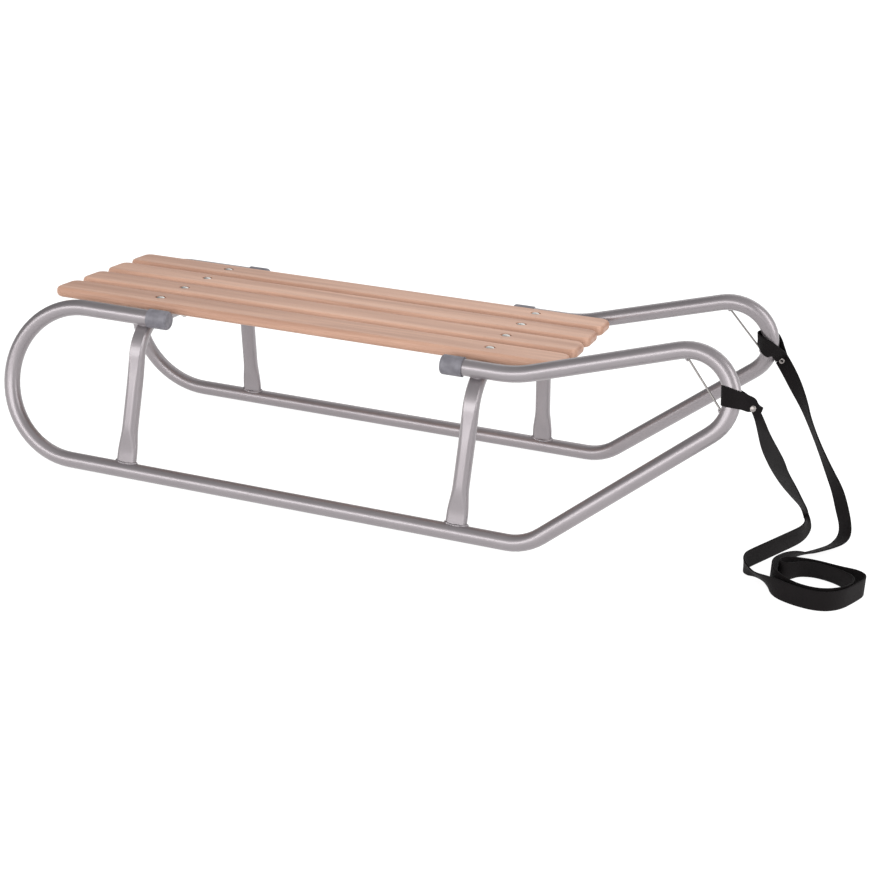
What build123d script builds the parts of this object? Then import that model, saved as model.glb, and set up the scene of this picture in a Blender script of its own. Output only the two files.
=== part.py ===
"""Metal sled: two bent side tubes, two arches, four wooden slats and a webbing pull strap."""
import os
from math import asin, atan2, cos, degrees, pi, radians, sin, sqrt, tan
from build123d import *

# Seat length. It places the arches, and these place the bends of the side tubes.
SLAT_LEN = 738.0
SLAT_REAR_X = -67.0
REAR_OVERHANG = 154.0
FRONT_OVERHANG = 103.5
REAR_ARCH_X = SLAT_REAR_X + REAR_OVERHANG
FRONT_ARCH_X = SLAT_REAR_X + SLAT_LEN - FRONT_OVERHANG

# Side tubes. Each is one bent tube in a plane that leans inwards at the top.
TUBE_D = 22.0
TUBE_R = TUBE_D / 2
TUBE_WALL = 1.5
LEAN = 12.0
HALF_TRACK = 199.0
REAR_R = 106.0
RUN_H = 2 * REAR_R
TOE_AHEAD = 94.1
TOE_X = FRONT_ARCH_X + TOE_AHEAD
TOE_R = 68.0
RISE_ANGLE = 40.0
RISE_LEN = 274.9
NOSE_R = 56.0
EASE_AHEAD = 29.9
EASE_X = FRONT_ARCH_X + EASE_AHEAD
EASE_R = 150.0

# Arches. The legs stand on the runners and the crossbars carry the seat.
BAR_DROP = 8.4
BAR_Z = TUBE_R + RUN_H * cos(radians(LEAN)) - BAR_DROP
FOOT_H = 62.0
FLAT_H = 22.0
FLAT_T = 10.0
FOOT_SLACK = 0.1
FOOT_STEPS = 4

# Slip-on caps on the tube ends, just past the arches.
CAP_D = 26.0
CAP_LEN = 30.0
CAP_END = 4.0
CAP_ROUND = 4.0
REAR_CAP_GAP = 0.5
FRONT_CAP_GAP = 6.5
REAR_END_X = REAR_ARCH_X + TUBE_R + REAR_CAP_GAP + CAP_LEN - CAP_END
FRONT_END_X = FRONT_ARCH_X - TUBE_R - FRONT_CAP_GAP - CAP_LEN + CAP_END

# Seat slats, spread evenly between the side tubes, and their bolts.
SLAT_GAP = 13.0
SLAT_CLEAR = 12.0
SEAT_HALF_W = HALF_TRACK - RUN_H * sin(radians(LEAN)) - TUBE_R - SLAT_CLEAR
SLAT_PITCH = (2 * SEAT_HALF_W + SLAT_GAP) / 4
SLAT_W = SLAT_PITCH - SLAT_GAP
SLAT_T = 14.5
SLAT_CORNER = 14.0
SLAT_ROUND = 6.0
SLAT_Z = BAR_Z + TUBE_R
BOLT_D = 6.0
BOLT_HOLE = 6.4
HEAD_D = 13.0
HEAD_T = 3.0
RECESS_D = 15.0
RECESS_T = 3.2
NUT_AF = 10.0
NUT_T = 5.0
THREAD_END = 2.0

# Nose fittings and the strap.
WIRE_D = 2.5
WIRE_SINK = 4.0
WIRE_TOP_ANGLE = 98.0
WIRE_LOW_ANGLE = -17.0
STRAP_W = 25.0
STRAP_T = 1.8
LOOP_ANGLE = 7.0
LOOP_R = 12.8
LOOP_CLOSE = 35.0
LOOP_TIP = 37.0
RIVET_D = 5.0
RIVET_HOLE = 5.2
RIVET_HEAD_D = 10.0
RIVET_HEAD_T = 1.2

# Middle of the sled's length, from the rear bends to the tips of the strap loops.
NOSE_X = TOE_X + RISE_LEN * cos(radians(RISE_ANGLE)) - NOSE_R * sin(radians(RISE_ANGLE))
NOSE_H = RISE_LEN * sin(radians(RISE_ANGLE)) + NOSE_R * cos(radians(RISE_ANGLE))
TIP_X = NOSE_X + (NOSE_R + LOOP_TIP) * cos(radians(LOOP_ANGLE)) + STRAP_W / 2 * sin(radians(LOOP_ANGLE))
MID_X = (TIP_X - REAR_R - TUBE_R) / 2

SIDES = {"right": -1, "left": 1}
ARCHES = {"rear": REAR_ARCH_X, "front": FRONT_ARCH_X}
SLAT_ROWS = {"1": -1.5 * SLAT_PITCH, "2": -0.5 * SLAT_PITCH, "3": 0.5 * SLAT_PITCH, "4": 1.5 * SLAT_PITCH}

# Each loop's two ends laid together, which droop from the tube: outwards from the tube, up along it.
TAILS = {
    "right": [(15, 6), (22, 2), (37, -11), (35, -18), (26, -22), (19, -20), (15, -12)],
    "left": [(15, 10), (19, -11), (25, -29), (23, -39), (9, -39), (4, -34), (10, -20), (13, -8)],
}
RIVET_AT = {"right": (24.5, -12.5), "left": (14, -30)}
# Strap stretches that hang from the loops: x ahead of the tips, y, z, then the direction of the width.
HANG_RIGHT = [
    (-5.6, -154.9, 213.4, 0.9, 0.1, 0.4),
    (-4.5, -147, 206, 0.9, 0.0, 0.4),
    (-0.5, -120, 184, 0.8, -0.2, 0.4),
    (6, -85, 153.5, 0.8, -0.3, 0.3),
    (11.5, -55, 130, 0.8, -0.3, 0.3),
    (15.5, -30, 109, 0.8, -0.3, 0.4),
    (25, 10, 77.5, 0.8, -0.3, 0.5),
    (32.5, 45, 50, 0.7, -0.3, 0.6),
    (43, 70, 27, 0.3, -0.4, 0.8),
    (53, 76, 15, 0.0, 0.0, 1.0),
    (56, 62, 12.5, 0.0, 0.0, 1.0),
    (54.2, 44.6, 12.5, 0.0, 0.0, 1.0),
]
HANG_LEFT = [
    (-16.3, 158.8, 194.2, 1.0, 0.0, 0.1),
    (-12, 153, 188, 1.0, 0.1, 0.2),
    (4, 140, 177, 0.9, 0.3, 0.3),
    (19, 130, 156, 0.7, 0.5, 0.3),
    (30.5, 120, 136, 0.5, 0.8, 0.3),
    (50.5, 105, 108.5, 0.6, 0.7, 0.3),
    (70, 90, 78.5, 0.8, 0.3, 0.4),
    (83, 80, 57, 0.8, 0.2, 0.5),
    (96, 70, 33, 0.5, 0.1, 0.8),
    (104, 56, 15, 0.1, 0.0, 1.0),
    (105, 36, 12.5, 0.0, 0.0, 1.0),
    (100.2, 20.6, 12.5, 0.0, 0.0, 1.0),
]
# Strap on the floor, standing on its edge, from each hanging stretch to the coil: x ahead of the tips, y.
RUN_RIGHT = [(54, 44), (49, 12), (35, -32), (15, -76), (-4, -112), (8, -141), (28, -160), (60, -172)]
RUN_LEFT = [(100, 20), (84, -20), (63, -62), (45, -94), (60, -125)]
COIL_AHEAD = 90.0
COIL_X = TIP_X + COIL_AHEAD
COIL_Y = -152.0
COIL_LEN = 116.0
COIL_W = 98.0
COIL_CORNER = 44.0
COIL_BAND = 20.0


def frame_plane(side):
    """Leaning plane of one side frame, x forward and y up along the frame."""
    up = Vector(0, -side * sin(radians(LEAN)), cos(radians(LEAN)))
    return Plane(origin=(-MID_X, side * HALF_TRACK, TUBE_R), x_dir=(1, 0, 0), z_dir=Vector(1, 0, 0).cross(up))


def heading(angle):
    return Vector(cos(radians(angle)), sin(radians(angle)))


def nose_point(angle, radius):
    """Point about the centre of the nose bend, in the plane of a side frame."""
    return Vector(NOSE_X, NOSE_H) + heading(angle) * radius


def side_path():
    """Centreline of a side tube, from the rear end round to the front end."""
    toe_cut = TOE_R * tan(radians(RISE_ANGLE / 2))
    span = Vector(EASE_X - NOSE_X, RUN_H + EASE_R - NOSE_H)
    back = degrees(atan2(span.Y, span.X) + asin((NOSE_R + EASE_R) / span.length))
    return_len = sqrt(span.length**2 - (NOSE_R + EASE_R) ** 2)
    rear_run = Line((REAR_END_X, RUN_H), (0, RUN_H))
    rear_bend = JernArc(rear_run @ 1, (-1, 0), REAR_R, 180)
    runner = Line(rear_bend @ 1, (TOE_X - toe_cut, 0))
    toe = JernArc(runner @ 1, (1, 0), TOE_R, RISE_ANGLE)
    rise = Line(toe @ 1, Vector(TOE_X, 0) + heading(RISE_ANGLE) * RISE_LEN)
    nose = JernArc(rise @ 1, heading(RISE_ANGLE), NOSE_R, back - RISE_ANGLE)
    upper = Line(nose @ 1, (nose @ 1) + heading(back) * return_len)
    ease = JernArc(upper @ 1, heading(back), EASE_R, 180 - back)
    front_run = Line(ease @ 1, (FRONT_END_X, RUN_H))
    return Wire([rear_run, rear_bend, runner, toe, rise, nose, upper, ease, front_run])


def side_tube(side, hollow=True):
    path = frame_plane(side) * side_path()
    ring = Circle(TUBE_R) - Circle(TUBE_R - TUBE_WALL) if hollow else Circle(TUBE_R)
    return sweep(Plane(origin=path @ 0, z_dir=path % 0) * ring, path=path)


def end_cap(side, tube_end_x, facing):
    """Cap with a rounded end, slipped over a tube end that faces forward (1) or back (-1)."""
    body = Cylinder(CAP_D / 2, CAP_LEN, align=(Align.CENTER, Align.CENTER, Align.MAX))
    body = fillet(body.edges().group_by(Axis.Z)[-1], CAP_ROUND)
    body -= Pos(0, 0, -CAP_END) * Cylinder(TUBE_R, CAP_LEN, align=(Align.CENTER, Align.CENTER, Align.MAX))
    frame = frame_plane(side)
    at = frame.from_local_coords(Vector(tube_end_x + facing * CAP_END, RUN_H))
    return Plane(origin=at, z_dir=(facing, 0, 0)) * body


def foot(side, arch_x, inset):
    """Lower end of a leg, pressed from round to flat with its girth kept."""
    up = Vector(0, -side * sin(radians(LEAN)), cos(radians(LEAN)))
    base = Vector(arch_x - MID_X, side * HALF_TRACK, TUBE_R)
    steps = [(0, FLAT_T)]
    for i in range(FOOT_STEPS + 1):
        share = i / FOOT_STEPS
        steps.append((FLAT_H + share * (FOOT_H - FLAT_H), FLAT_T + share * (TUBE_D - FOOT_SLACK - FLAT_T)))
    sections = []
    for height, thickness in steps:
        width = thickness + (TUBE_D - thickness) * pi / 2
        plane = Plane(origin=base + up * height, x_dir=(1, 0, 0), z_dir=up)
        sections.append(plane * SlotOverall(width - 2 * inset, thickness - 2 * inset))
    return loft(sections, ruled=True)


def arch_radius(turn, corner_y):
    """Bend radius at which the arch's shoulder just touches the side tube that is welded to it."""
    reach = tan(radians(turn / 2))
    out = HALF_TRACK - RUN_H * sin(radians(LEAN)) - corner_y
    half = reach * out + BAR_DROP - TUBE_D
    return (sqrt(half**2 - reach**2 * (out**2 + BAR_DROP**2 - TUBE_D**2)) - half) / reach**2


def arch_path(arch_x):
    """Centreline of an arch between the tops of its two flattened feet."""
    turn = 90 - LEAN
    corner_y = HALF_TRACK - (BAR_Z - TUBE_R) * tan(radians(LEAN))
    radius = arch_radius(turn, corner_y)
    cut = radius * tan(radians(turn / 2))
    foot_y = HALF_TRACK - FOOT_H * sin(radians(LEAN))
    foot_z = TUBE_R + FOOT_H * cos(radians(LEAN))
    rising = heading(turn)
    leg = Line((-foot_y, foot_z), Vector(-corner_y, BAR_Z) - rising * cut)
    shoulder = JernArc(leg @ 1, rising, radius, -turn)
    bar = Line(shoulder @ 1, (corner_y - cut, BAR_Z))
    far_shoulder = JernArc(bar @ 1, (1, 0), radius, -turn)
    far_leg = Line(far_shoulder @ 1, (foot_y, foot_z))
    plane = Plane(origin=(arch_x - MID_X, 0, 0), x_dir=(0, 1, 0), z_dir=(1, 0, 0))
    return plane * Wire([leg, shoulder, bar, far_shoulder, far_leg])


def arch(arch_x):
    path = arch_path(arch_x)
    start = Plane(origin=path @ 0, x_dir=(1, 0, 0), z_dir=path % 0)
    body = sweep(start * (Circle(TUBE_R) - Circle(TUBE_R - TUBE_WALL)), path=path)
    for side in SIDES.values():
        across = Plane(origin=(arch_x - MID_X, side * HALF_TRACK, TUBE_R), z_dir=(1, 0, 0))
        runner = across * Cylinder(TUBE_R, 4 * TUBE_D)
        body += foot(side, arch_x, 0) - foot(side, arch_x, TUBE_WALL) - runner
    for y in SLAT_ROWS.values():
        body -= Pos(arch_x - MID_X, y, BAR_Z) * Cylinder(BOLT_HOLE / 2, 2 * TUBE_D)
    return body


def slat(y):
    board = extrude(RectangleRounded(SLAT_LEN, SLAT_W, SLAT_CORNER), SLAT_T)
    rims = board.edges().group_by(Axis.Z)
    board = fillet(rims[0] + rims[-1], SLAT_ROUND)
    board = Pos(SLAT_REAR_X + SLAT_LEN / 2 - MID_X, y, SLAT_Z) * board
    for arch_x in ARCHES.values():
        board -= Pos(arch_x - MID_X, y, SLAT_Z + SLAT_T / 2) * Cylinder(BOLT_HOLE / 2, 2 * SLAT_T)
        board -= Pos(arch_x - MID_X, y, SLAT_Z + SLAT_T) * Cylinder(RECESS_D / 2, 2 * RECESS_T)
    return board


def seat_bolt(arch_x, y):
    """Domed bolt sunk in a slat, down through the crossbar to its nut."""
    seat_z = SLAT_Z + SLAT_T - RECESS_T
    under_z = BAR_Z - TUBE_R
    head = Cylinder(HEAD_D / 2, HEAD_T, align=(Align.CENTER, Align.CENTER, Align.MIN))
    head = fillet(head.edges().group_by(Axis.Z)[-1], HEAD_T * 0.8)
    tip_z = under_z - NUT_T - THREAD_END
    shank = Cylinder(BOLT_D / 2, seat_z - tip_z, align=(Align.CENTER, Align.CENTER, Align.MIN))
    nut = extrude(RegularPolygon(NUT_AF / 2, 6, major_radius=False), NUT_T)
    bolt = Pos(0, 0, seat_z) * head + Pos(0, 0, tip_z) * shank + Pos(0, 0, under_z - NUT_T) * nut
    return Pos(arch_x - MID_X, y, 0) * bolt


def keeper_wire(side):
    """Straight wire across the nose bend that keeps the strap loop in the bend."""
    frame = frame_plane(side)
    reach = NOSE_R - TUBE_R + WIRE_SINK
    top = frame.from_local_coords(nose_point(WIRE_TOP_ANGLE, reach))
    low = frame.from_local_coords(nose_point(WIRE_LOW_ANGLE, reach))
    path = Line(top, low)
    wire = sweep(Plane(origin=top, z_dir=path % 0) * Circle(WIRE_D / 2), path=path)
    return wire - side_tube(side, hollow=False)


def loop_plane(side):
    """Plane across the nose tube at the strap loop: x outwards from the bend, z along the tube."""
    frame = frame_plane(side)
    at = frame.from_local_coords(nose_point(LOOP_ANGLE, NOSE_R))
    outward = frame.from_local_coords(nose_point(LOOP_ANGLE, NOSE_R) + heading(LOOP_ANGLE)) - at
    along = frame.from_local_coords(nose_point(LOOP_ANGLE, NOSE_R) + heading(LOOP_ANGLE + 90)) - at
    return Plane(origin=at, x_dir=outward, z_dir=along)


def strap_loop(name):
    """Webbing wrapped round the nose tube, its two ends laid together and drooping in front of it."""
    outer_r = LOOP_R + STRAP_T
    close = radians(LOOP_CLOSE)
    meet = (outer_r - STRAP_T * sin(close)) / cos(close)
    outer = Circle(outer_r) + Polygon(
        (outer_r * cos(close), -outer_r * sin(close)),
        (meet, -STRAP_T),
        (meet, STRAP_T),
        (outer_r * cos(close), outer_r * sin(close)),
        align=None,
    )
    inner = Circle(LOOP_R) + Polygon(
        (LOOP_R * cos(close), -LOOP_R * sin(close)),
        (LOOP_R / cos(close), 0),
        (LOOP_R * cos(close), LOOP_R * sin(close)),
        align=None,
    )
    band = extrude(outer - inner, STRAP_W / 2, both=True)
    nose = Pos(-NOSE_R, 0) * Circle(NOSE_R + LOOP_R)
    tail = Plane.XZ * extrude(Polygon(*TAILS[name], align=None) - nose, STRAP_T, both=True)
    hole = Pos(RIVET_AT[name][0], 0, RIVET_AT[name][1]) * Rot(90, 0, 0) * Cylinder(RIVET_HOLE / 2, 4 * STRAP_T)
    return loop_plane(SIDES[name]) * (band + tail - hole)


def strap_rivet(name):
    pin = Cylinder(RIVET_D / 2, 2 * STRAP_T)
    head = Cylinder(RIVET_HEAD_D / 2, RIVET_HEAD_T, align=(Align.CENTER, Align.CENTER, Align.MIN))
    head = fillet(head.edges().group_by(Axis.Z)[-1], RIVET_HEAD_T * 0.7)
    rivet = pin + Pos(0, 0, STRAP_T) * head + Pos(0, 0, -STRAP_T) * Rot(180, 0, 0) * head
    return loop_plane(SIDES[name]) * Pos(RIVET_AT[name][0], 0, RIVET_AT[name][1]) * Rot(90, 0, 0) * rivet


def hanging_strap(rows):
    """Twisting stretch of webbing between a loop and the floor."""
    points = [Vector(TIP_X + x - MID_X, y, z) for x, y, z, _, _, _ in rows]
    sections = []
    for i, row in enumerate(rows):
        along = points[min(i + 1, len(rows) - 1)] - points[max(i - 1, 0)]
        across = Vector(*row[3:])
        across = across - along * (across.dot(along) / along.dot(along))
        sections.append(Plane(origin=points[i], x_dir=across, z_dir=along) * Rectangle(STRAP_W, STRAP_T))
    return loft(sections, ruled=True)


def coil():
    """Outer shape of the coiled strap: a ring as high as the strap is wide."""
    outer = RectangleRounded(COIL_LEN, COIL_W, COIL_CORNER)
    inner = RectangleRounded(COIL_LEN - 2 * COIL_BAND, COIL_W - 2 * COIL_BAND, COIL_CORNER - COIL_BAND)
    return Pos(COIL_X - MID_X, COIL_Y, 0) * extrude(outer - inner, STRAP_W)


def floor_strap(points):
    """Webbing standing on its edge along the floor, as runs joined by tangent arcs, up to the coil."""
    at = [Vector(TIP_X + x - MID_X, y, STRAP_W / 2) for x, y in points]
    radii = []
    for before, corner, after in zip(at, at[1:], at[2:]):
        shorter = min((corner - before).length, (after - corner).length)
        turn = (corner - before).get_angle(after - corner)
        radii.append(0.45 * shorter / tan(radians(turn / 2)))
    print("strap radii", [round(radius) for radius in radii])
    path = FilletPolyline(*at, radius=radii)
    start = Plane(origin=path @ 0, x_dir=(0, 0, 1), z_dir=path % 0)
    full_coil = extrude(RectangleRounded(COIL_LEN, COIL_W, COIL_CORNER), STRAP_W)
    return sweep(start * Rectangle(STRAP_W, STRAP_T), path=path) - Pos(COIL_X - MID_X, COIL_Y, 0) * full_coil


nodes = {}
for name, side in SIDES.items():
    nodes[f"side_tube_{name}"] = side_tube(side)
    nodes[f"rear_cap_{name}"] = end_cap(side, REAR_END_X, 1)
    nodes[f"front_cap_{name}"] = end_cap(side, FRONT_END_X, -1)
    nodes[f"keeper_wire_{name}"] = keeper_wire(side)
    nodes[f"strap_loop_{name}"] = strap_loop(name)
    nodes[f"strap_rivet_{name}"] = strap_rivet(name)
for name, arch_x in ARCHES.items():
    nodes[f"arch_{name}"] = arch(arch_x)
    for row, y in SLAT_ROWS.items():
        nodes[f"seat_bolt_{name}_{row}"] = seat_bolt(arch_x, y)
for row, y in SLAT_ROWS.items():
    nodes[f"slat_{row}"] = slat(y)
nodes["strap_hang_right"] = hanging_strap(HANG_RIGHT)
nodes["strap_hang_left"] = hanging_strap(HANG_LEFT)
nodes["strap_run_right"] = floor_strap(RUN_RIGHT)
nodes["strap_run_left"] = floor_strap(RUN_LEFT)
nodes["strap_coil"] = coil()

os.makedirs("parts", exist_ok=True)
for name, solid in nodes.items():
    export_step(solid, f"parts/{name}.step")
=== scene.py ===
"""Metal sled: a frame of bent silver tube, four beech slats and a black webbing pull strap."""
import math
import random

import bmesh
import bpy
from mathutils import Matrix, Vector


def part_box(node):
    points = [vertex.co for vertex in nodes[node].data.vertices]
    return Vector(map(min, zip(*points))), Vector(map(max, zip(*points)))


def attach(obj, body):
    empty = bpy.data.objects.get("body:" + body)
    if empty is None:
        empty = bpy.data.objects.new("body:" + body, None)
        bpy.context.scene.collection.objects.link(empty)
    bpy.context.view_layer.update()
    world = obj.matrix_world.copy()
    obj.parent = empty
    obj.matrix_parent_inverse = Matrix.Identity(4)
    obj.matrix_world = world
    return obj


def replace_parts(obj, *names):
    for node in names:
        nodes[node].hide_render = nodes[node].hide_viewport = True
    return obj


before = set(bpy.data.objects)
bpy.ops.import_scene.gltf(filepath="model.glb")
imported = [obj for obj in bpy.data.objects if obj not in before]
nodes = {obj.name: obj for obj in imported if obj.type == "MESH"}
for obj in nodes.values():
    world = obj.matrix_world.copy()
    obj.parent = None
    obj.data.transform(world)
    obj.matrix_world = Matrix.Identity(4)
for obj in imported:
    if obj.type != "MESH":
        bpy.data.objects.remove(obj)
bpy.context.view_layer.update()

# Camera. It stands in front of the right side, turned to the nose and a little above the seat,
# and is tipped a few degrees, as the photograph is.
CAMERA_AT = (0.75548, -2.04846, 0.78869)
CAMERA_TURN = 18.802
CAMERA_DOWN = 18.439
CAMERA_ROLL = 3.559
LENS = 67.256
SENSOR = 36
camera = bpy.data.objects.new("camera", bpy.data.cameras.new("camera"))
camera.data.sensor_width = SENSOR
camera.data.lens = LENS
heading = Matrix.Rotation(math.radians(CAMERA_TURN), 4, "Z")
pitch = Matrix.Rotation(math.radians(90 - CAMERA_DOWN), 4, "X")
roll = Matrix.Rotation(math.radians(CAMERA_ROLL), 4, "Z")
camera.matrix_world = Matrix.Translation(CAMERA_AT) @ heading @ pitch @ roll
bpy.context.scene.collection.objects.link(camera)
bpy.context.scene.camera = camera
bpy.context.scene.view_settings.view_transform = "Standard"

# Studio. A white floor without edges, which keeps the sled's soft shadow, with a long low soft lamp
# in front, a smaller one beside the nose and a weak one behind. The ceiling and the left wall are
# darker where they shine back from the metal.
FLOOR_HALF = 30
FLOOR_DROP = 0.0006
FLOOR_GLOW = 0.90
FLOOR_SEEN = 0.30
FLOOR_BOUNCE = 0.75
AMBIENT = 0.78
CEILING = 0.62
CEILING_RISE = (0.1, 0.6)
LEFT_WALL = 0.30
LEFT_REACH = (0.0, 0.8)
LAMPS_AIM = Vector((0.05, 0, 0.15))
LAMPS = [
    # name, place, width, height, power
    ("key_lamp", (-0.8, -3.0, 0.9), 4.6, 1.0, 62.0),
    ("side_lamp", (2.3, -0.3, 1.1), 0.9, 2.0, 20.0),
    ("back_lamp", (0.1, 2.2, 1.9), 4.0, 0.8, 11.0),
]


class Value:
    """A socket of a shader. Arithmetic on it adds Math nodes, and node() adds any other kind."""

    def __init__(self, socket):
        self.socket = socket

    def node(self, kind, settings=None, inputs=None, output=0):
        tree = self.socket.id_data
        made = tree.nodes.new("ShaderNode" + kind)
        for name, value in (settings or {}).items():
            setattr(made, name, value)
        for name, value in (inputs or {}).items():
            if isinstance(value, Value):
                tree.links.new(value.socket, made.inputs[name])
            else:
                made.inputs[name].default_value = value
        return Value(made.outputs[output])

    def math(self, operation, first, second=0.0):
        return self.node("Math", {"operation": operation}, {0: first, 1: second})

    def mix(self, low, high):
        """Colour between low and high, where self is the share of high."""
        sockets = {"Factor": self, 6: low, 7: high}
        return self.node("Mix", {"data_type": "RGBA"}, sockets, 2)

    def axis(self, number):
        """One of the three numbers of a place or a direction."""
        return self.node("SeparateXYZ", None, {0: self}, number)

    def noise(self, scale, detail=2.0, roughness=0.5):
        cloud = {"Vector": self, "Scale": scale, "Detail": detail, "Roughness": roughness}
        return self.node("TexNoise", None, cloud)

    def stretch(self, x, y, z):
        return self.node("VectorMath", {"operation": "MULTIPLY"}, {0: self, 1: (x, y, z)})

    def shifted(self, x, y, z):
        move = self.node("CombineXYZ", None, {"X": x, "Y": y, "Z": z})
        return self.node("VectorMath", {"operation": "ADD"}, {0: self, 1: move})

    def band(self, low, high):
        """0 below low, 1 above high and a smooth step between."""
        steps = {"Value": self, "From Min": low, "From Max": high}
        return self.node("MapRange", {"interpolation_type": "SMOOTHSTEP"}, steps)

    def feed(self, shader, name):
        self.socket.id_data.links.new(self.socket, shader.inputs[name])

    def emboss(self, shader, strength, distance):
        """Raise the shader's surface where self is high."""
        relief = {"Strength": strength, "Distance": distance, "Height": self}
        self.node("Bump", None, relief).feed(shader, "Normal")

    def __add__(self, other):
        return self.math("ADD", self, other)

    def __sub__(self, other):
        return self.math("SUBTRACT", self, other)

    def __rsub__(self, other):
        return self.math("SUBTRACT", other, self)

    def __mul__(self, other):
        return self.math("MULTIPLY", self, other)

    __radd__ = __add__
    __rmul__ = __mul__


def looking_rays(tree):
    """1 for camera, glossy and transmitted rays together, and 1 for glossy rays alone."""
    path = tree.nodes.new("ShaderNodeLightPath").outputs
    gloss = Value(path["Is Glossy Ray"])
    return Value(path["Is Camera Ray"]) + gloss + Value(path["Is Transmission Ray"]), gloss


mesh = bpy.data.meshes.new("floor")
form = bmesh.new()
bmesh.ops.create_grid(form, x_segments=1, y_segments=1, size=FLOOR_HALF)
bmesh.ops.translate(form, verts=form.verts, vec=(0, 0, -FLOOR_DROP))
form.to_mesh(mesh)
form.free()
floor = bpy.data.objects.new("floor", mesh)
bpy.context.scene.collection.objects.link(floor)
material = bpy.data.materials.new("floor")
material.use_nodes = True
tree = material.node_tree
tree.nodes.clear()
seen, gloss = looking_rays(tree)
bounced = seen.node("BsdfDiffuse", None, {"Color": (FLOOR_BOUNCE, FLOOR_BOUNCE, FLOOR_BOUNCE, 1)})
lit = seen.node("BsdfDiffuse", None, {"Color": (FLOOR_SEEN, FLOOR_SEEN, FLOOR_SEEN, 1)})
glow = seen.node("Emission", None, {"Color": (1, 1, 1, 1), "Strength": FLOOR_GLOW})
white = seen.node("AddShader", None, {0: lit, 1: glow})
shown = seen.node("MixShader", None, {0: seen, 1: bounced, 2: white})
shown.feed(tree.nodes.new("ShaderNodeOutputMaterial"), "Surface")
mesh.materials.append(material)
world = bpy.data.worlds.new("world")
bpy.context.scene.world = world
world.use_nodes = True
tree = world.node_tree
backdrop = tree.nodes["Background"]
seen, gloss = looking_rays(tree)
way = Value(tree.nodes.new("ShaderNodeTexCoord").outputs["Generated"])
rise = way.axis(2).band(*CEILING_RISE)
left = (way.axis(0) * -1).band(*LEFT_REACH)
shade = (1 - rise * (1 - CEILING)) * (1 - left * (1 - LEFT_WALL))
(seen * (1 - AMBIENT) + AMBIENT - gloss * (1 - shade)).feed(backdrop, "Strength")
backdrop.inputs["Color"].default_value = (1, 1, 1, 1)
for name, place, width, height, power in LAMPS:
    lamp = bpy.data.lights.new(name, "AREA")
    lamp.shape = "RECTANGLE"
    lamp.size = width
    lamp.size_y = height
    lamp.energy = power
    stand = bpy.data.objects.new(name, lamp)
    stand.location = place
    stand.rotation_euler = (LAMPS_AIM - Vector(place)).to_track_quat("-Z", "Y").to_euler()
    bpy.context.scene.collection.objects.link(stand)

# Side tubes. Two bent steel tubes in silver metallic paint: a coat of fine flakes with a slight
# orange peel under a thin clear lacquer. They keep the shape they have as solids.
FLAKE_SCALE = 2600
CLOUD_SCALE = 14
PEEL_SCALE = 150


def new_material(name, coordinates="Object"):
    """A material, its shader, and the coordinates that its patterns follow."""
    material = bpy.data.materials.new(name)
    material.use_nodes = True
    tree = material.node_tree
    at = Value(tree.nodes.new("ShaderNodeTexCoord").outputs[coordinates])
    return material, tree.nodes["Principled BSDF"], at


def srgb(red, green, blue):
    """Linear colour of an 8-bit screen colour."""
    linear = []
    for level in (red, green, blue):
        share = level / 255
        linear.append(share / 12.92 if share < 0.04045 else ((share + 0.055) / 1.055) ** 2.4)
    return (*linear, 1.0)


def dress(node, material):
    """Give a solid its finish."""
    nodes[node].data.materials.clear()
    nodes[node].data.materials.append(material)


PAINT = srgb(151, 145, 148)
PAINT_LOW = srgb(139, 133, 136)
silver, shader, at = new_material("silver_paint")
flakes = at.noise(FLAKE_SCALE, 1.0)
cloud = at.noise(CLOUD_SCALE, 3.0)
(flakes * 0.6 + cloud * 0.4).band(0.3, 0.7).mix(PAINT_LOW, PAINT).feed(shader, "Base Color")
(cloud * 0.08 + 0.36).feed(shader, "Roughness")
shader.inputs["Metallic"].default_value = 0.72
shader.inputs["Coat Weight"].default_value = 0.5
shader.inputs["Coat Roughness"].default_value = 0.13
at.noise(PEEL_SCALE, 1.0).emboss(shader, 0.03, 0.0006)
for side in ("right", "left"):
    dress(f"side_tube_{side}", silver)

# Arches. Two hoops of the same tube, bent at the shoulders, stand on the runners under the seat.
# A press flattened each foot and left a flat up the outside of the leg, which is widest at the
# shoulder, where the side tube lies on it.
ARCHES_X = (-0.31951, 0.16099)
LEAN = math.radians(12)
HALF_TRACK = 0.199
TUBE_R = 0.011
LEG_START = 0.006
LEG_TOP = 0.15734
BEND_R = 0.05690
BEND_TURN = math.pi / 2 - LEAN
BEND_CENTRE = (0.11064, 0.15307)
FOOT_R = 0.005
# distances up the tube between which the foot ends, the shoulder begins and the round bar begins
FOOT_ENDS = (0.022, 0.062)
SHOULDER_BEGINS = (0.100, 0.180)
BAR_BEGINS = (0.206, 0.234)
# degrees up the tube's side at which the flat begins: on the leg, the shoulder and the round bar
FLAT_REACH = 71
SHOULDER_REACH = 45
ROUND_REACH = 86
FLAT_STEPS = (-1, -0.8, -0.3, 0.3, 0.8, 1)
SIDE_STEPS = 14
RING_STEP = 0.003
SHARP_EDGE = math.radians(40)


def ease(value, low, high):
    """0 below low, 1 above high and a smooth step between."""
    share = min(max((value - low) / (high - low), 0), 1)
    return share * share * (3 - 2 * share)


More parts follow.
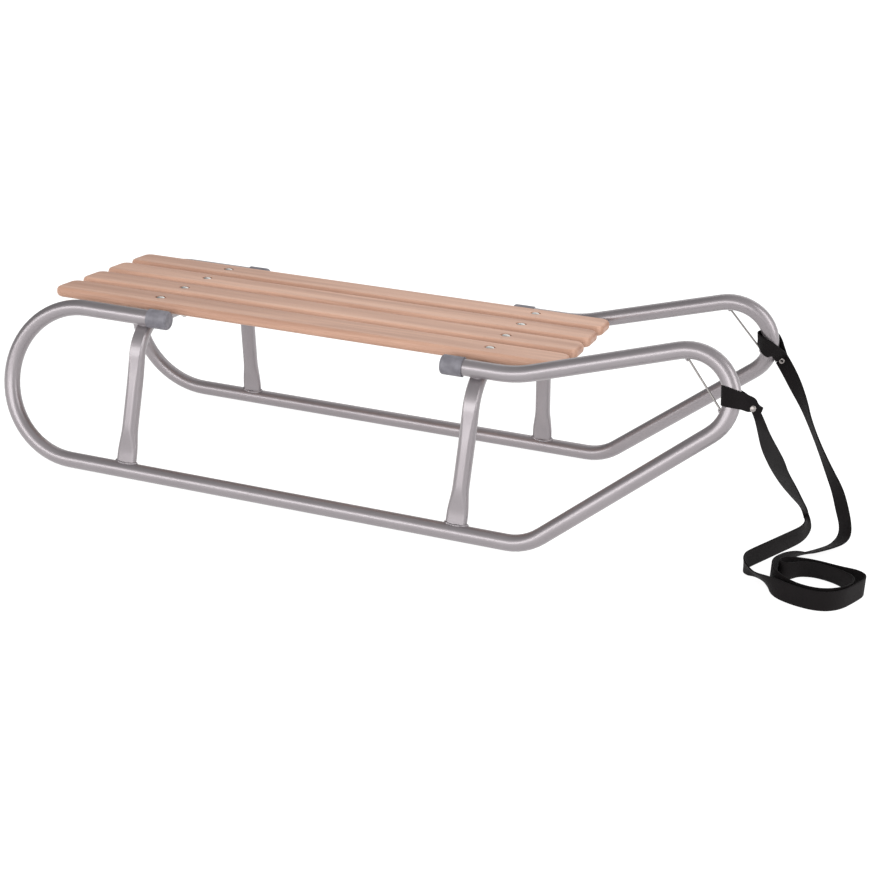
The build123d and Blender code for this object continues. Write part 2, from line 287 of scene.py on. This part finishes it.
def arch_ring(run, side):
    """Outline of the pressed tube at a distance up the leg, over the bend and along the bar."""
    turn = LEAN + min(max(run - LEG_TOP, 0) / BEND_R, BEND_TURN)
    outward = Vector((0, side * math.cos(turn), math.sin(turn)))
    first = Vector((0, side * math.cos(LEAN), math.sin(LEAN)))
    up = Vector((0, -side * math.sin(LEAN), math.cos(LEAN)))
    centre = Vector((0, side * HALF_TRACK, TUBE_R)) + up * min(run, LEG_TOP)
    centre += (outward - first) * BEND_R
    centre.y -= side * max(run - LEG_TOP - BEND_R * BEND_TURN, 0)
    foot = 1 - ease(run, *FOOT_ENDS)
    bar = ease(run, *BAR_BEGINS)
    shoulder = ease(run, *SHOULDER_BEGINS) - bar
    radius = TUBE_R - (TUBE_R - FOOT_R) * foot
    reach = FLAT_REACH + (ROUND_REACH - FLAT_REACH) * (foot + bar)
    reach += (SHOULDER_REACH - FLAT_REACH) * shoulder
    spread = (TUBE_R - radius) * math.pi / 2
    flat = radius * math.sin(math.radians(reach))
    centre += outward * (TUBE_R - flat) * shoulder
    half = spread + radius * math.cos(math.radians(reach))
    inner = spread + radius * math.cos(math.radians(ROUND_REACH))
    low = radius * math.sin(math.radians(ROUND_REACH))
    outline = [(half * share, flat) for share in FLAT_STEPS]
    for step in range(1, SIDE_STEPS):
        angle = math.radians(reach - (reach + ROUND_REACH) * step / SIDE_STEPS)
        outline.append((spread + radius * math.cos(angle), radius * math.sin(angle)))
    outline += [(-inner * share, -low) for share in FLAT_STEPS]
    for step in range(1, SIDE_STEPS + 1):
        angle = math.radians(-ROUND_REACH + (reach + ROUND_REACH) * step / SIDE_STEPS)
        outline.append((-spread - radius * math.cos(angle), radius * math.sin(angle)))
    return [centre + Vector((along, 0, 0)) + outward * out for along, out in outline]


def finished(name, form, material):
    """Object of a finished shape, on the sled, with its surface shaded smooth up to sharp edges."""
    mesh = bpy.data.meshes.new(name)
    form.to_mesh(mesh)
    form.free()
    mesh.shade_smooth()
    mesh.set_sharp_from_angle(angle=SHARP_EDGE)
    mesh.materials.append(material)
    piece = bpy.data.objects.new(name, mesh)
    bpy.context.scene.collection.objects.link(piece)
    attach(piece, "root")
    return piece


half_run = LEG_TOP + BEND_R * BEND_TURN + BEND_CENTRE[0]
ring_count = int((half_run - LEG_START) / RING_STEP)
rings = [arch_ring(LEG_START + RING_STEP * step, -1) for step in range(ring_count)]
rings += [[Vector((corner.x, -corner.y, corner.z)) for corner in ring] for ring in reversed(rings)]
for row, arch_x in zip(("rear", "front"), ARCHES_X):
    form = bmesh.new()
    last, around = len(rings) - 1, len(rings[0]) - 1
    bmesh.ops.create_grid(form, x_segments=last, y_segments=around, size=0.5)
    for vertex in form.verts:
        ring = rings[round((vertex.co.x + 0.5) * last)]
        vertex.co = ring[round((vertex.co.y + 0.5) * around)] + Vector((arch_x, 0, 0))
    bmesh.ops.remove_doubles(form, verts=form.verts, dist=1e-6)
    bmesh.ops.holes_fill(form, edges=form.edges)
    bmesh.ops.recalc_face_normals(form, faces=form.faces)
    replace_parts(finished(f"hoop_{row}", form, silver), f"arch_{row}")

# Welds. Each foot of an arch is welded all round to the runner, and each shoulder has a short bead
# under the side tube that lies on it. The beads are painted over with the frame.
WELD_R = 0.0021
WELD_LIFT = 0.0006
WELD_UNEVEN = (0.8, 1.15)
WELD_STEPS = 26
WELD_GRAIN = 0.0007
FOOT_HALF = (0.0150, 0.0058)
SEAT_TURN = math.radians(55.9)
SEAT_BELOW = 0.0048
SEAT_BEAD = [
    # place along the sled, radius
    (-0.0064, 0.0014),
    (-0.0042, 0.0017),
    (-0.0018, 0.0022),
    (0.0008, 0.0026),
    (0.0034, 0.0019),
    (0.0060, 0.0015),
]


def bead(name, spots):
    """Weld bead grown together from small lumps at the spots, each with its own radius."""
    form = bmesh.new()
    for spot, radius in spots:
        place = Matrix.Translation(spot)
        bmesh.ops.create_icosphere(form, subdivisions=2, radius=radius, matrix=place)
    mesh = bpy.data.meshes.new(name)
    form.to_mesh(mesh)
    form.free()
    lumps = bpy.data.objects.new(name, mesh)
    bpy.context.scene.collection.objects.link(lumps)
    grow = lumps.modifiers.new("grow", "REMESH")
    grow.mode = "VOXEL"
    grow.voxel_size = WELD_GRAIN
    grow.use_smooth_shade = True
    settle = lumps.modifiers.new("settle", "SMOOTH")
    settle.factor = 0.5
    settle.iterations = 2
    shaped = lumps.evaluated_get(bpy.context.evaluated_depsgraph_get())
    grown = bpy.data.meshes.new_from_object(shaped)
    lumps.modifiers.clear()
    lumps.data = grown
    grown.materials.append(silver)
    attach(lumps, "root")


luck = random.Random(11)
for row, arch_x in zip(("rear", "front"), ARCHES_X):
    for side, name in ((-1, "right"), (1, "left")):
        upright = Vector((0, -side * math.sin(LEAN), math.cos(LEAN)))
        outward = Vector((0, side * math.cos(LEAN), math.sin(LEAN)))
        foot = Vector((arch_x, side * HALF_TRACK, TUBE_R))
        spots = []
        for step in range(WELD_STEPS):
            turn = 2 * math.pi * step / WELD_STEPS
            along = FOOT_HALF[0] * math.cos(turn)
            over = FOOT_HALF[1] * math.sin(turn)
            lift = math.sqrt(TUBE_R**2 - over**2) + WELD_LIFT
            spot = foot + Vector((along, 0, 0)) + outward * over + upright * lift
            spots.append((spot, WELD_R * luck.uniform(*WELD_UNEVEN)))
        bead(f"foot_weld_{row}_{name}", spots)
        outward = Vector((0, side * math.cos(SEAT_TURN), math.sin(SEAT_TURN)))
        below = Vector((0, side * math.sin(SEAT_TURN), -math.cos(SEAT_TURN)))
        seat = Vector((arch_x, side * BEND_CENTRE[0], BEND_CENTRE[1])) + outward * (BEND_R + TUBE_R)
        seat += below * SEAT_BELOW
        spots = [(seat + Vector((along, 0, 0)), radius) for along, radius in SEAT_BEAD]
        bead(f"shoulder_weld_{row}_{name}", spots)

# End caps. Slip-on caps of mid-grey moulded plastic with a rounded end, pushed over the four tube
# ends beside the arches. The mould left a fine matt texture.
CAP_PALE = srgb(122, 120, 127)
CAP_DEEP = srgb(104, 102, 109)
MOTTLE_SCALE = 90
GRIT_SCALE = 2200
plastic, shader, at = new_material("cap_plastic")
grit = at.noise(GRIT_SCALE, 2.0)
at.noise(MOTTLE_SCALE, 3.0).band(0.3, 0.7).mix(CAP_DEEP, CAP_PALE).feed(shader, "Base Color")
(grit * 0.16 + 0.44).feed(shader, "Roughness")
grit.emboss(shader, 0.12, 0.0004)
for end in ("rear", "front"):
    for side in ("right", "left"):
        dress(f"{end}_cap_{side}", plastic)

# Slats. Four planed beech boards with rounded edges under a clear satin varnish. Each board has its
# own run of grain, with soft streaks and the short dark flecks of beech. Over the grain, painted
# shade darkens each board towards the left side of the sled and in a narrow strip along its
# right-side edge.
BEECH_PALE = srgb(214, 173, 150)
BEECH_DEEP = srgb(174, 134, 114)
BEECH_FLECK = srgb(146, 102, 80)
SLAT_PITCH = 0.0692
SLAT_MIDDLE = -0.1045
SLAT_ENDS = (0.3645, 0.3680)
STREAKS = (1.6, 42, 42)
FIBRES = (16, 1100, 1100)
FLECKS = (270, 2400, 2400)
beech, shader, at = new_material("beech")
place = (at.axis(1) + 2 * SLAT_PITCH) * (1 / SLAT_PITCH)
board = at.math("FLOOR", place)
grain = at.shifted(board * 1.73, board * 0.31, board * 0.57)
bend = grain.stretch(3, 8, 8).noise(1.0, 1.0) * 0.02
grain = grain.shifted(0.0, bend, bend)
streaks = grain.stretch(*STREAKS).noise(1.0, 5.0, 0.55)
fibres = grain.stretch(*FIBRES).noise(1.0, 3.0)
flecks = grain.stretch(*FLECKS).noise(1.0, 1.0).band(0.64, 0.74)
ends = at.math("ABSOLUTE", at.axis(0) - SLAT_MIDDLE).band(*SLAT_ENDS)
# Painted shade: each board's half towards the left side of the sled and a narrow strip along its
# edge towards the right side are darkened, standing in for the shading across its top.
painted_far_shade = (place - board).band(0.15, 0.62)
painted_edge_shade = 1 - (place - board).band(0.10, 0.20)
grain_and_painted_shade = (streaks * 0.9 + fibres * 0.3 - painted_far_shade * 0.14 - painted_edge_shade * 0.17).band(0.27, 0.73)
wood = grain_and_painted_shade.mix(BEECH_DEEP, BEECH_PALE)
wood = (flecks * 0.4).mix(wood, BEECH_FLECK)
(ends * 0.45).mix(wood, BEECH_FLECK).feed(shader, "Base Color")
(fibres * 0.14 + flecks * 0.1 + 0.36).feed(shader, "Roughness")
shader.inputs["Specular IOR Level"].default_value = 0.3
(fibres * 0.5 - flecks * 0.5).emboss(shader, 0.12, 0.0004)
for row in "1234":
    dress(f"slat_{row}", beech)

# Seat bolts. Zinc plated bolts with a plain domed head sunk in the slat, two to a slat, down
# through the crossbar to a hexagon nut. The zinc is bright with a faint cloudy tarnish.
ZINC_DULL = srgb(196, 194, 190)
ZINC_BRIGHT = srgb(226, 225, 223)
TARNISH_SCALE = 240
HEAD = [
    # radius, height
    (0, 0.0010),
    (0.0024, 0.0008),
    (0.0045, 0.0002),
    (0.0060, -0.0008),
    (0.0067, -0.0018),
    (0.0066, -0.0030),
]
SHANK_R = 0.003
THREAD_END = 0.002
THREAD_STEP = 0.0009
THREAD_STEPS = 8
THREAD_DEPTH = 0.0003
TIP_R = 0.0024
NUT_AF = 0.010
NUT_T = 0.005
NUT_SOFT = 0.0005
zinc, shader, at = new_material("zinc")
tarnish = at.noise(TARNISH_SCALE, 4.0, 0.6)
tarnish.band(0.3, 0.75).mix(ZINC_DULL, ZINC_BRIGHT).feed(shader, "Base Color")
(tarnish * 0.2 + 0.24).feed(shader, "Roughness")
shader.inputs["Metallic"].default_value = 1.0
tarnish.emboss(shader, 0.08, 0.0003)


def turned(form, profile, steps=40):
    """Turn a profile of radius and height once round the upright axis."""
    line = [form.verts.new((radius, 0, height)) for radius, height in profile]
    edges = [form.edges.new(pair) for pair in zip(line, line[1:])]
    whole = {"angle": 2 * math.pi, "steps": steps, "use_merge": True}
    bmesh.ops.spin(form, geom=line + edges, cent=(0, 0, 0), axis=(0, 0, 1), **whole)
    bmesh.ops.remove_doubles(form, verts=form.verts, dist=1e-6)
    bmesh.ops.recalc_face_normals(form, faces=form.faces)


for row in ("rear", "front"):
    for slat in "1234":
        low, high = (Vector(corner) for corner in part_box(f"seat_bolt_{row}_{slat}"))
        place = Matrix.Translation(((low.x + high.x) / 2, (low.y + high.y) / 2, high.z))
        length = high.z - low.z
        shank = [(SHANK_R, HEAD[-1][1]), (SHANK_R, -length + NUT_T + 2 * THREAD_END)]
        for step in range(THREAD_STEPS):
            height = -length + NUT_T + THREAD_END - THREAD_STEP * step
            shank.append((SHANK_R - THREAD_DEPTH * (step % 2), height))
        shank += [(TIP_R, -length), (0, -length)]
        form = bmesh.new()
        turned(form, HEAD + shank)
        across = NUT_AF / math.sqrt(3)
        nut = bmesh.ops.create_circle(form, cap_ends=True, segments=6, radius=across)["verts"]
        bmesh.ops.translate(form, verts=nut, vec=(0, 0, -length + THREAD_END))
        under = nut[0].link_faces[:]
        raised = bmesh.ops.extrude_face_region(form, geom=under, use_keep_orig=True)["geom"]
        lifted = [part for part in raised if isinstance(part, bmesh.types.BMVert)]
        bmesh.ops.translate(form, verts=lifted, vec=(0, 0, NUT_T))
        corners = {edge for vertex in nut + lifted for edge in vertex.link_edges}
        soft = {"affect": "EDGES", "segments": 2, "profile": 0.5, "material": -1}
        bmesh.ops.bevel(form, geom=list(corners), offset=NUT_SOFT, **soft)
        bmesh.ops.recalc_face_normals(form, faces=form.faces)
        bmesh.ops.transform(form, matrix=place, verts=form.verts)
        bolt = finished(f"bolt_{row}_{slat}", form, zinc)
        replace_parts(bolt, f"seat_bolt_{row}_{slat}")

# Keeper wires. A straight drawn steel wire across each nose bend, tacked to the tube at both ends,
# which keeps the strap loop in the bend.
STEEL_DULL = srgb(140, 136, 134)
STEEL_PALE = srgb(158, 154, 152)
SCRATCH_SCALE = 260
WIRE_ENDS = [(0.42342, 0.14408, 0.26939), (0.47271, 0.15608, 0.21293)]
TACK_STEP = 0.0012
TACK_RADII = (0.00187, 0.0017, 0.001445)
steel, shader, at = new_material("drawn_steel")
scratches = at.noise(SCRATCH_SCALE, 2.0)
scratches.band(0.3, 0.7).mix(STEEL_DULL, STEEL_PALE).feed(shader, "Base Color")
(scratches * 0.1 + 0.45).feed(shader, "Roughness")
shader.inputs["Metallic"].default_value = 1.0
for side, name in ((-1, "right"), (1, "left")):
    dress(f"keeper_wire_{name}", steel)
    top, low = (Vector((x, side * y, z)) for x, y, z in WIRE_ENDS)
    along = (low - top).normalized() * TACK_STEP
    for end, start, step in (("upper", top, along), ("lower", low, -along)):
        spots = [(start + step * row, radius) for row, radius in enumerate(TACK_RADII)]
        bead(f"wire_tack_{end}_{name}", spots)

# Strap loops. At each nose bend the end of the black webbing is wrapped once round the tube behind
# the keeper wire and riveted to itself, gathered a little at the rivet.
WEBBING_DEEP = srgb(7, 5, 6)
WEBBING_PALE = srgb(25, 20, 21)
RIB_W = 0.0014
PICK_LEN = 0.0022
FUZZ_SCALE = 5200
WEAR_SCALE = 60
STRAP_W = 0.025
STRAP_T = 0.0018
STRAP_SOFT = 0.0005
ROWS_ACROSS = 8
LOOP_AT = (0.48526, 0.15193, 0.23247)
LOOP_TILT = math.radians(7)
LOOPS = {
    # out from the tube, across it and up along it to the strap's middle, then the direction of
    # its width and the share of the width that is left where it is gathered
    "right": [
        (0.0366, -0.0012, -0.0142, 0.4, 0.0, 0.9, 0.26),
        (0.0325, -0.0013, -0.0128, 0.4, 0.0, 0.9, 0.30),
        (0.0285, -0.0014, -0.0112, 0.4, 0.0, 0.9, 0.46),
        (0.0240, -0.0019, -0.0088, 0.4, 0.0, 0.9, 0.78),
        (0.0160, -0.0050, -0.0054, 0.3, 0.0, 1.0, 0.80),
        (0.0097, -0.0097, -0.0030, 0.1, 0.1, 1.0, 0.86),
        (0.0000, -0.0137, -0.0004, 0.1, 0.0, 1.0, 0.95),
        (-0.0097, -0.0097, 0.0018, 0.0, 0.0, 1.0, 1.0),
        (-0.0140, 0.0000, 0.0024, 0.0, 0.0, 1.0, 1.0),
        (-0.0097, 0.0097, 0.0018, 0.0, 0.0, 1.0, 1.0),
        (0.0000, 0.0137, -0.0004, 0.1, 0.0, 1.0, 0.95),
        (0.0097, 0.0097, -0.0030, 0.1, -0.1, 1.0, 0.86),
        (0.0160, 0.0046, -0.0058, 0.4, 0.0, 0.9, 0.72),
        (0.0205, 0.0015, -0.0085, 0.5, 0.0, 0.8, 0.55),
        (0.0228, 0.0012, -0.0112, 0.6, 0.0, 0.8, 0.44),
    ],
    "left": [
        (0.0130, -0.0012, -0.0285, 0.6, 0.0, 0.8, 0.92),
        (0.0126, -0.0026, -0.0250, 0.6, -0.1, 0.8, 1.0),
        (0.0122, -0.0066, -0.0200, 0.5, -0.4, 0.8, 1.0),
        (0.0085, -0.0108, -0.0150, 0.5, -0.4, 0.8, 1.0),
        (0.0000, -0.0140, -0.0085, 0.6, 0.0, 0.8, 1.0),
        (-0.0115, -0.0100, -0.0012, 0.4, -0.4, 0.8, 1.0),
        (-0.0200, 0.0000, 0.0034, 0.0, -0.5, 0.9, 1.0),
        (-0.0105, 0.0102, 0.0012, 0.3, 0.4, 0.8, 1.0),
        (0.0000, 0.0140, -0.0040, 0.5, 0.0, 0.9, 1.0),
        (0.0065, 0.0112, -0.0105, 0.6, -0.4, 0.7, 1.0),
        (0.0078, 0.0050, -0.0185, 0.8, -0.2, 0.4, 0.98),
        (0.0105, 0.0014, -0.0275, 0.9, 0.0, 0.4, 0.92),
    ],
}
webbing_cloth, shader, at = new_material("webbing", "UV")
column = at.axis(1) * (1 / RIB_W)
odd = at.math("FLOORED_MODULO", at.math("FLOOR", column), 2.0)
picks = at.math("SINE", at.axis(0) * (2 * math.pi / PICK_LEN) + odd * math.pi) * 0.5 + 0.5
ribs = at.math("ABSOLUTE", at.math("SINE", column * math.pi))
fuzz = at.stretch(1, 1, 0).noise(FUZZ_SCALE, 2.0)
wear = at.stretch(1, 1, 0).noise(WEAR_SCALE, 3.0)
weave = ribs * 0.6 + picks * 0.4
thread = (weave * 0.5 + fuzz * 0.3 + wear * 0.3 - 0.1).band(0.15, 0.95)
thread.mix(WEBBING_DEEP, WEBBING_PALE).feed(shader, "Base Color")
(fuzz * 0.2 + 0.6).feed(shader, "Roughness")
shader.inputs["Specular IOR Level"].default_value = 0.13
(weave + fuzz * 0.3).emboss(shader, 0.5, 0.0004)


def spline_points(name, points):
    """Points along the smooth line that the given points control."""
    curve = bpy.data.curves.new(name, "CURVE")
    curve.dimensions = "3D"
    curve.resolution_u = 10
    spline = curve.splines.new("NURBS")
    spline.points.add(len(points) - 1)
    for control, point in zip(spline.points, points):
        control.co = (*point, 1)
    spline.order_u = 3
    spline.use_endpoint_u = True
    holder = bpy.data.objects.new(name, curve)
    line = bpy.data.meshes.new_from_object(holder)
    points = [vertex.co.copy() for vertex in line.vertices]
    bpy.data.meshes.remove(line)
    bpy.data.objects.remove(holder)
    bpy.data.curves.remove(curve)
    return points


def webbing(name, rows, place):
    """Strip of webbing that follows the rows, and the line along its middle."""
    middles = []
    edges = []
    for x, y, z, across_x, across_y, across_z, share in rows:
        middle = Vector((x, y, z))
        across = Vector((across_x, across_y, across_z)).normalized()
        middles.append(place @ middle)
        edges.append(place @ (middle + across * share * STRAP_W / 2))
    line = spline_points(name + "_middle", middles)
    side = spline_points(name + "_edge", edges)
    last = len(line) - 1
    run = [0.0]
    for before, after in zip(line, line[1:]):
        run.append(run[-1] + (after - before).length)
    form = bmesh.new()
    uv = form.loops.layers.uv.new("weave")
    bmesh.ops.create_grid(form, x_segments=last, y_segments=ROWS_ACROSS, size=0.5)
    for face in form.faces:
        for corner in face.loops:
            step = round((corner.vert.co.x + 0.5) * last)
            corner[uv].uv = (run[step], corner.vert.co.y * STRAP_W)
    for vertex in form.verts:
        step = round((vertex.co.x + 0.5) * last)
        ahead = (line[min(step + 1, last)] - line[max(step - 1, 0)]).normalized()
        across = side[step] - line[step]
        across -= ahead * across.dot(ahead)
        vertex.co = line[step] + across * (2 * vertex.co.y)
    mesh = bpy.data.meshes.new(name)
    form.to_mesh(mesh)
    form.free()
    mesh.shade_smooth()
    mesh.materials.append(webbing_cloth)
    strip = bpy.data.objects.new(name, mesh)
    bpy.context.scene.collection.objects.link(strip)
    thick = strip.modifiers.new("thickness", "SOLIDIFY")
    thick.thickness = STRAP_T
    thick.offset = 0
    soft = strip.modifiers.new("edges", "BEVEL")
    soft.width = STRAP_SOFT
    soft.segments = 2
    soft.limit_method = "ANGLE"
    soft.angle_limit = math.radians(50)
    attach(strip, "root")
    return strip, line


def loop_place(side):
    """Place of a loop: on the tube at the nose, leaning with the side tube."""
    x, y, z = LOOP_AT
    lean = Matrix.Rotation(side * LEAN, 4, "X")
    return Matrix.Translation((x, side * y, z)) @ lean @ Matrix.Rotation(-LOOP_TILT, 4, "Y")


for side, name in ((-1, "right"), (1, "left")):
    loop, line = webbing(f"loop_{name}", LOOPS[name], loop_place(side))
    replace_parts(loop, f"strap_loop_{name}")

# Rivets. A bright steel tubular rivet through both layers of each loop, with a domed head on the
# outside of the sled and its end rolled over on the inside.
RIVET_DULL = srgb(132, 126, 124)
RIVET_BRIGHT = srgb(164, 158, 155)
SMEAR_SCALE = 700
RIVET = [
    # radius, height: the domed head, the shank, the rolled end and the bore
    (0.0000, 0.0034), (0.0018, 0.0033), (0.0034, 0.0029), (0.0044, 0.0023), (0.0046, 0.0019),
    (0.0042, 0.0017), (0.0024, 0.0016), (0.0024, -0.0017), (0.0040, -0.0018), (0.0042, -0.0022),
    (0.0040, -0.0028), (0.0034, -0.0031), (0.0026, -0.0031), (0.0020, -0.0028), (0.0016, -0.0022),
    (0.0015, 0.0005), (0.0000, 0.0008),
]
bright, shader, at = new_material("bright_steel")
smear = at.noise(SMEAR_SCALE, 3.0)
smear.band(0.3, 0.7).mix(RIVET_DULL, RIVET_BRIGHT).feed(shader, "Base Color")
(smear * 0.15 + 0.3).feed(shader, "Roughness")
shader.inputs["Metallic"].default_value = 1.0
for side, name in ((-1, "right"), (1, "left")):
    low, high = (Vector(corner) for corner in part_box(f"strap_rivet_{name}"))
    form = bmesh.new()
    turned(form, RIVET)
    outward = Matrix.Rotation(side * LEAN - side * math.pi / 2, 4, "X")
    place = Matrix.Translation((low + high) / 2) @ outward
    bmesh.ops.transform(form, matrix=place, verts=form.verts)
    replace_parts(finished(f"rivet_{name}", form, bright), f"strap_rivet_{name}")

# Pull strap. One length of black webbing from the right loop down to the floor, on its edge in a
# doubled coil before the nose, and back up to the left loop. Both ends are held by the rivets.
STRAP = [
    # middle of the strap, then the direction of its width and the share of the width that is left
    # where it is folded
    (0.5122, -0.1526, 0.2246, -0.6, -0.1, -0.8, 0.42),
    (0.5178, -0.1495, 0.214, -0.8, -0.1, -0.5, 0.42),
    (0.5212, -0.137, 0.2, -0.9, 0, -0.2, 0.5),
    (0.524, -0.12, 0.184, -0.9, 0.2, 0, 0.66),
    (0.5297, -0.085, 0.1535, -1, 0.1, -0.1, 0.9),
    (0.535, -0.055, 0.13, -1, 0.1, -0.1, 0.97),
    (0.539, -0.03, 0.109, -1, 0.2, 0, 0.97),
    (0.5485, 0.01, 0.0775, -0.95, 0.3, 0, 1),
    (0.5585, 0.034, 0.054, -0.8, 0.6, 0, 1),
    (0.5660, 0.05, 0.0385, -0.55, 0.8, -0.15, 0.95),
    (0.5705, 0.0555, 0.0295, -0.6, 0.65, 0.15, 0.75),
    (0.5740, 0.0535, 0.0225, -0.65, 0.2, 0.5, 0.75),
    (0.5770, 0.045, 0.018, -0.5, -0.1, 0.85, 0.95),
    (0.5775, 0.031, 0.0142, -0.15, 0, 1, 1),
    (0.574, 0.012, 0.0127, 0, 0, 1, 1),
    (0.5655, -0.01, 0.0125, 0, 0, 1, 1),
    (0.5535, -0.038, 0.0125, 0, 0, 1, 1),
    (0.5375, -0.076, 0.0125, 0, 0, 1, 1),
    (0.5255, -0.104, 0.0125, 0, 0, 1, 1),
    (0.5195, -0.122, 0.0125, 0, 0, 1, 1),
    (0.5245, -0.136, 0.011, -0.2, -0.4, 0.9, 1),
    (0.5375, -0.144, 0.0095, -0.3, -0.7, 0.6, 1),
    (0.5485, -0.158, 0.0095, -0.5, -0.5, 0.6, 1),
    (0.5655, -0.184, 0.0125, 0, 0, 1, 1),
    (0.5935, -0.2, 0.0125, 0, 0, 1, 1),
    (0.6255, -0.204, 0.0125, 0, 0, 1, 1),
    (0.6475, -0.188, 0.0125, 0, 0, 1, 1),
    (0.6615, -0.156, 0.0125, 0, 0, 1, 1),
    (0.6725, -0.125, 0.0125, 0, 0, 1, 1),
    (0.6605, -0.106, 0.0123, 0, -0.2, 1, 1),
    (0.6375, -0.101, 0.0118, 0, -0.34, 0.94, 1),
    (0.6075, -0.094, 0.0118, 0, -0.34, 0.94, 1),
    (0.5815, -0.096, 0.0118, 0, -0.34, 0.94, 1),
    (0.5665, -0.108, 0.0123, 0, -0.2, 1, 1),
    (0.5625, -0.123, 0.0125, 0, 0, 1, 1),
    (0.5695, -0.131, 0.0125, 0, 0, 1, 1),
    (0.5795, -0.122, 0.0123, 0, -0.2, 1, 1),
    (0.5895, -0.108, 0.0118, 0, -0.34, 0.94, 1),
    (0.6095, -0.102, 0.0118, 0, -0.34, 0.94, 1),
    (0.6375, -0.112, 0.0118, 0, -0.34, 0.94, 1),
    (0.6595, -0.134, 0.0125, 0, 0, 1, 1),
    (0.6545, -0.167, 0.0125, 0, 0, 1, 1),
    (0.6265, -0.193, 0.0125, 0, 0, 1, 1),
    (0.5915, -0.189, 0.0125, 0, 0, 1, 1),
    (0.5645, -0.162, 0.0125, 0, 0, 1, 1),
    (0.5535, -0.128, 0.0125, 0, 0, 1, 1),
    (0.5635, -0.098, 0.0125, 0, 0, 1, 1),
    (0.5735, -0.072, 0.011, 0.4, -0.2, 0.85, 1),
    (0.583, -0.047, 0.0072, 0.75, -0.45, 0.38, 1),
    (0.5965, -0.025, 0.0058, 0.78, -0.45, 0.38, 1),
    (0.61, -0.005, 0.0058, 0.78, -0.45, 0.38, 1),
    (0.622, 0.017, 0.0062, 0.78, -0.45, 0.4, 1),
    (0.6268, 0.042, 0.0095, 0.7, -0.6, 0.35, 1),
    (0.625, 0.058, 0.0205, 0.6, -0.6, 0.5, 1),
    (0.6165, 0.07, 0.038, 0.6, -0.5, 0.6, 1),
    (0.6072, 0.08, 0.0575, 0.55, -0.6, 0.58, 1),
    (0.592, 0.09, 0.079, 0.35, -0.72, 0.58, 1),
    (0.572, 0.105, 0.1085, 0.16, -0.78, 0.54, 1),
    (0.554, 0.12, 0.136, 0.2, -0.78, 0.54, 1),
    (0.5425, 0.13, 0.156, 0.4, -0.7, 0.6, 1),
    (0.5275, 0.14, 0.177, 0.6, -0.5, 0.6, 1),
    (0.5115, 0.151, 0.197, 0.7, -0.4, 0.6, 0.95),
    (0.501, 0.16, 0.207, 0.8, -0.2, 0.5, 0.85),
]
strap, line = webbing("pull_strap", STRAP, Matrix())
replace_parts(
    strap, "strap_hang_right", "strap_hang_left", "strap_run_right", "strap_run_left", "strap_coil"
)
